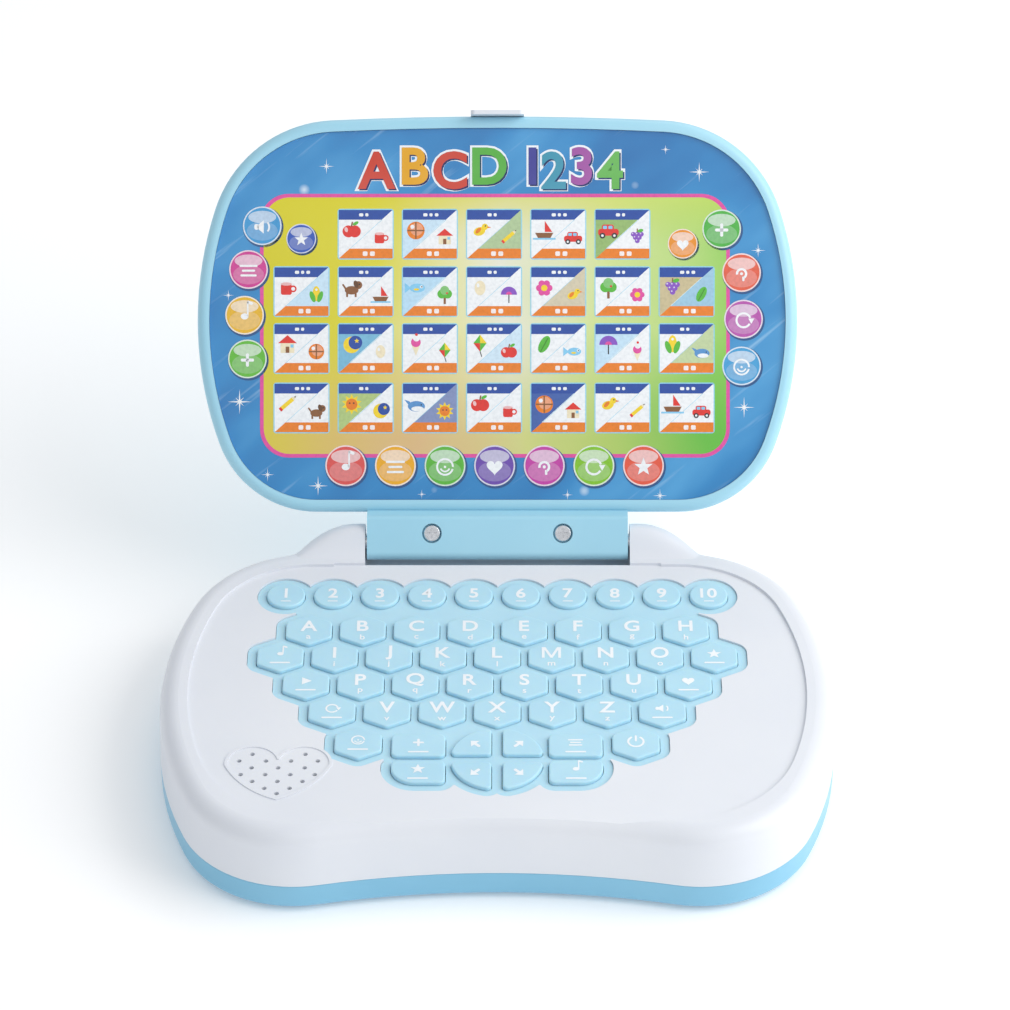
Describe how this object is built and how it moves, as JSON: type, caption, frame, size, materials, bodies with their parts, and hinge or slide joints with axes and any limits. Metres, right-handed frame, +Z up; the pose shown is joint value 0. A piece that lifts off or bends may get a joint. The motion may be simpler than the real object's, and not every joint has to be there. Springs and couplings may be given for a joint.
{
  "type": "toy laptop computer",
  "caption": "Toy laptop computer with a hinged picture-panel lid, a honeycomb rubber keypad, a heart-shaped speaker grille and a battery bay underneath.",
  "frame": {"origin": "on the table, at the middle of the box round the open toy, under it", "axes": "+Z up, -Y towards the child who plays, +X to that child's right"},
  "size_m": [0.2324, 0.2559, 0.1617],
  "materials": {
    "white_shell": "satin moulded ABS",
    "blue_shell": "satin moulded ABS",
    "blue_lid": "satin moulded ABS",
    "keypad": "soft matt silicone",
    "print": "printed sheet under a clear gloss film",
    "board": "solder mask",
    "component": "moulded epoxy",
    "dark_metal": "black steel",
    "cone": "pressed film",
    "cell": "lacquered steel",
    "contact": "nickel plated",
    "screw": "zinc plated steel",
    "foot": "soft matt"
  },
  "bodies": {
    "base": {"base_top_shell": "white_shell", "base_bottom_shell": "blue_shell", "keypad_mat": "keypad", "contact_board": "board", "board_components": "component", "speaker_basket": "dark_metal", "speaker_cone": "cone", "speaker_magnet": "dark_metal", "battery_cells": "cell", "battery_contacts": "contact", "case_screws": "screw", "rubber_feet": "foot"},
    "lid": {"lid_front_frame": "blue_lid", "lid_back_cover": "blue_lid", "graphic_panel": "print", "hinge_screws": "screw", "hinge_pins": "screw", "lid_latch": "white_shell"},
    "battery_door": {"battery_door": "blue_shell", "battery_door_screw": "screw"},
    "number_key_1_body": {"number_key_1": "keypad"},
    "number_key_2_body": {"number_key_2": "keypad"},
    "number_key_3_body": {"number_key_3": "keypad"},
    "number_key_4_body": {"number_key_4": "keypad"},
    "number_key_5_body": {"number_key_5": "keypad"},
    "number_key_6_body": {"number_key_6": "keypad"},
    "number_key_7_body": {"number_key_7": "keypad"},
    "number_key_8_body": {"number_key_8": "keypad"},
    "number_key_9_body": {"number_key_9": "keypad"},
    "number_key_10_body": {"number_key_10": "keypad"},
    "letter_key_a_body": {"letter_key_a": "keypad"},
    "letter_key_b_body": {"letter_key_b": "keypad"},
    "letter_key_c_body": {"letter_key_c": "keypad"},
    "letter_key_d_body": {"letter_key_d": "keypad"},
    "letter_key_e_body": {"letter_key_e": "keypad"},
    "letter_key_f_body": {"letter_key_f": "keypad"},
    "letter_key_g_body": {"letter_key_g": "keypad"},
    "letter_key_h_body": {"letter_key_h": "keypad"},
    "letter_key_i_body": {"letter_key_i": "keypad"},
    "letter_key_j_body": {"letter_key_j": "keypad"},
    "letter_key_k_body": {"letter_key_k": "keypad"},
    "letter_key_l_body": {"letter_key_l": "keypad"},
    "letter_key_m_body": {"letter_key_m": "keypad"},
    "letter_key_n_body": {"letter_key_n": "keypad"},
    "letter_key_o_body": {"letter_key_o": "keypad"},
    "letter_key_p_body": {"letter_key_p": "keypad"},
    "letter_key_q_body": {"letter_key_q": "keypad"},
    "letter_key_r_body": {"letter_key_r": "keypad"},
    "letter_key_s_body": {"letter_key_s": "keypad"},
    "letter_key_t_body": {"letter_key_t": "keypad"},
    "letter_key_u_body": {"letter_key_u": "keypad"},
    "letter_key_v_body": {"letter_key_v": "keypad"},
    "letter_key_w_body": {"letter_key_w": "keypad"},
    "letter_key_x_body": {"letter_key_x": "keypad"},
    "letter_key_y_body": {"letter_key_y": "keypad"},
    "letter_key_z_body": {"letter_key_z": "keypad"},
    "function_keys_body": {"function_keys": "keypad"},
    "power_key_body": {"power_key": "keypad"},
    "direction_pad_keys_body": {"direction_pad_keys": "keypad"}
  },
  "joints": [
    {"name": "lid_hinge", "type": "hinge", "parent": "base", "child": "lid", "pos_m": [0, 0.0301, 0.0345], "axis": [1, 0, 0], "range_deg": [0, 127]},
    {"name": "battery_door_lift", "type": "slide", "parent": "base", "child": "battery_door", "axis": [0, 0, -1], "range_m": [0, 0.02]},
    {"name": "number_key_1_press", "type": "slide", "parent": "base", "child": "number_key_1_body", "axis": [0, 0, -1], "range_m": [0, 0.0011], "stiffness_N_per_m": 400},
    {"name": "number_key_2_press", "type": "slide", "parent": "base", "child": "number_key_2_body", "axis": [0, 0, -1], "range_m": [0, 0.0011], "stiffness_N_per_m": 400},
    {"name": "number_key_3_press", "type": "slide", "parent": "base", "child": "number_key_3_body", "axis": [0, 0, -1], "range_m": [0, 0.0011], "stiffness_N_per_m": 400},
    {"name": "number_key_4_press", "type": "slide", "parent": "base", "child": "number_key_4_body", "axis": [0, 0, -1], "range_m": [0, 0.0011], "stiffness_N_per_m": 400},
    {"name": "number_key_5_press", "type": "slide", "parent": "base", "child": "number_key_5_body", "axis": [0, 0, -1], "range_m": [0, 0.0011], "stiffness_N_per_m": 400},
    {"name": "number_key_6_press", "type": "slide", "parent": "base", "child": "number_key_6_body", "axis": [0, 0, -1], "range_m": [0, 0.0011], "stiffness_N_per_m": 400},
    {"name": "number_key_7_press", "type": "slide", "parent": "base", "child": "number_key_7_body", "axis": [0, 0, -1], "range_m": [0, 0.0011], "stiffness_N_per_m": 400},
    {"name": "number_key_8_press", "type": "slide", "parent": "base", "child": "number_key_8_body", "axis": [0, 0, -1], "range_m": [0, 0.0011], "stiffness_N_per_m": 400},
    {"name": "number_key_9_press", "type": "slide", "parent": "base", "child": "number_key_9_body", "axis": [0, 0, -1], "range_m": [0, 0.0011], "stiffness_N_per_m": 400},
    {"name": "number_key_10_press", "type": "slide", "parent": "base", "child": "number_key_10_body", "axis": [0, 0, -1], "range_m": [0, 0.0011], "stiffness_N_per_m": 400},
    {"name": "letter_key_a_press", "type": "slide", "parent": "base", "child": "letter_key_a_body", "axis": [0, 0, -1], "range_m": [0, 0.0011], "stiffness_N_per_m": 400},
    {"name": "letter_key_b_press", "type": "slide", "parent": "base", "child": "letter_key_b_body", "axis": [0, 0, -1], "range_m": [0, 0.0011], "stiffness_N_per_m": 400},
    {"name": "letter_key_c_press", "type": "slide", "parent": "base", "child": "letter_key_c_body", "axis": [0, 0, -1], "range_m": [0, 0.0011], "stiffness_N_per_m": 400},
    {"name": "letter_key_d_press", "type": "slide", "parent": "base", "child": "letter_key_d_body", "axis": [0, 0, -1], "range_m": [0, 0.0011], "stiffness_N_per_m": 400},
    {"name": "letter_key_e_press", "type": "slide", "parent": "base", "child": "letter_key_e_body", "axis": [0, 0, -1], "range_m": [0, 0.0011], "stiffness_N_per_m": 400},
    {"name": "letter_key_f_press", "type": "slide", "parent": "base", "child": "letter_key_f_body", "axis": [0, 0, -1], "range_m": [0, 0.0011], "stiffness_N_per_m": 400},
    {"name": "letter_key_g_press", "type": "slide", "parent": "base", "child": "letter_key_g_body", "axis": [0, 0, -1], "range_m": [0, 0.0011], "stiffness_N_per_m": 400},
    {"name": "letter_key_h_press", "type": "slide", "parent": "base", "child": "letter_key_h_body", "axis": [0, 0, -1], "range_m": [0, 0.0011], "stiffness_N_per_m": 400},
    {"name": "letter_key_i_press", "type": "slide", "parent": "base", "child": "letter_key_i_body", "axis": [0, 0, -1], "range_m": [0, 0.0011], "stiffness_N_per_m": 400},
    {"name": "letter_key_j_press", "type": "slide", "parent": "base", "child": "letter_key_j_body", "axis": [0, 0, -1], "range_m": [0, 0.0011], "stiffness_N_per_m": 400},
    {"name": "letter_key_k_press", "type": "slide", "parent": "base", "child": "letter_key_k_body", "axis": [0, 0, -1], "range_m": [0, 0.0011], "stiffness_N_per_m": 400},
    {"name": "letter_key_l_press", "type": "slide", "parent": "base", "child": "letter_key_l_body", "axis": [0, 0, -1], "range_m": [0, 0.0011], "stiffness_N_per_m": 400},
    {"name": "letter_key_m_press", "type": "slide", "parent": "base", "child": "letter_key_m_body", "axis": [0, 0, -1], "range_m": [0, 0.0011], "stiffness_N_per_m": 400},
    {"name": "letter_key_n_press", "type": "slide", "parent": "base", "child": "letter_key_n_body", "axis": [0, 0, -1], "range_m": [0, 0.0011], "stiffness_N_per_m": 400},
    {"name": "letter_key_o_press", "type": "slide", "parent": "base", "child": "letter_key_o_body", "axis": [0, 0, -1], "range_m": [0, 0.0011], "stiffness_N_per_m": 400},
    {"name": "letter_key_p_press", "type": "slide", "parent": "base", "child": "letter_key_p_body", "axis": [0, 0, -1], "range_m": [0, 0.0011], "stiffness_N_per_m": 400},
    {"name": "letter_key_q_press", "type": "slide", "parent": "base", "child": "letter_key_q_body", "axis": [0, 0, -1], "range_m": [0, 0.0011], "stiffness_N_per_m": 400},
    {"name": "letter_key_r_press", "type": "slide", "parent": "base", "child": "letter_key_r_body", "axis": [0, 0, -1], "range_m": [0, 0.0011], "stiffness_N_per_m": 400},
    {"name": "letter_key_s_press", "type": "slide", "parent": "base", "child": "letter_key_s_body", "axis": [0, 0, -1], "range_m": [0, 0.0011], "stiffness_N_per_m": 400},
    {"name": "letter_key_t_press", "type": "slide", "parent": "base", "child": "letter_key_t_body", "axis": [0, 0, -1], "range_m": [0, 0.0011], "stiffness_N_per_m": 400},
    {"name": "letter_key_u_press", "type": "slide", "parent": "base", "child": "letter_key_u_body", "axis": [0, 0, -1], "range_m": [0, 0.0011], "stiffness_N_per_m": 400},
    {"name": "letter_key_v_press", "type": "slide", "parent": "base", "child": "letter_key_v_body", "axis": [0, 0, -1], "range_m": [0, 0.0011], "stiffness_N_per_m": 400},
    {"name": "letter_key_w_press", "type": "slide", "parent": "base", "child": "letter_key_w_body", "axis": [0, 0, -1], "range_m": [0, 0.0011], "stiffness_N_per_m": 400},
    {"name": "letter_key_x_press", "type": "slide", "parent": "base", "child": "letter_key_x_body", "axis": [0, 0, -1], "range_m": [0, 0.0011], "stiffness_N_per_m": 400},
    {"name": "letter_key_y_press", "type": "slide", "parent": "base", "child": "letter_key_y_body", "axis": [0, 0, -1], "range_m": [0, 0.0011], "stiffness_N_per_m": 400},
    {"name": "letter_key_z_press", "type": "slide", "parent": "base", "child": "letter_key_z_body", "axis": [0, 0, -1], "range_m": [0, 0.0011], "stiffness_N_per_m": 400},
    {"name": "function_keys_press", "type": "slide", "parent": "base", "child": "function_keys_body", "axis": [0, 0, -1], "range_m": [0, 0.0011], "stiffness_N_per_m": 4400},
    {"name": "power_key_press", "type": "slide", "parent": "base", "child": "power_key_body", "axis": [0, 0, -1], "range_m": [0, 0.0011], "stiffness_N_per_m": 400},
    {"name": "direction_pad_keys_press", "type": "slide", "parent": "base", "child": "direction_pad_keys_body", "axis": [0, 0, -1], "range_m": [0, 0.0011], "stiffness_N_per_m": 1600}
  ]
}
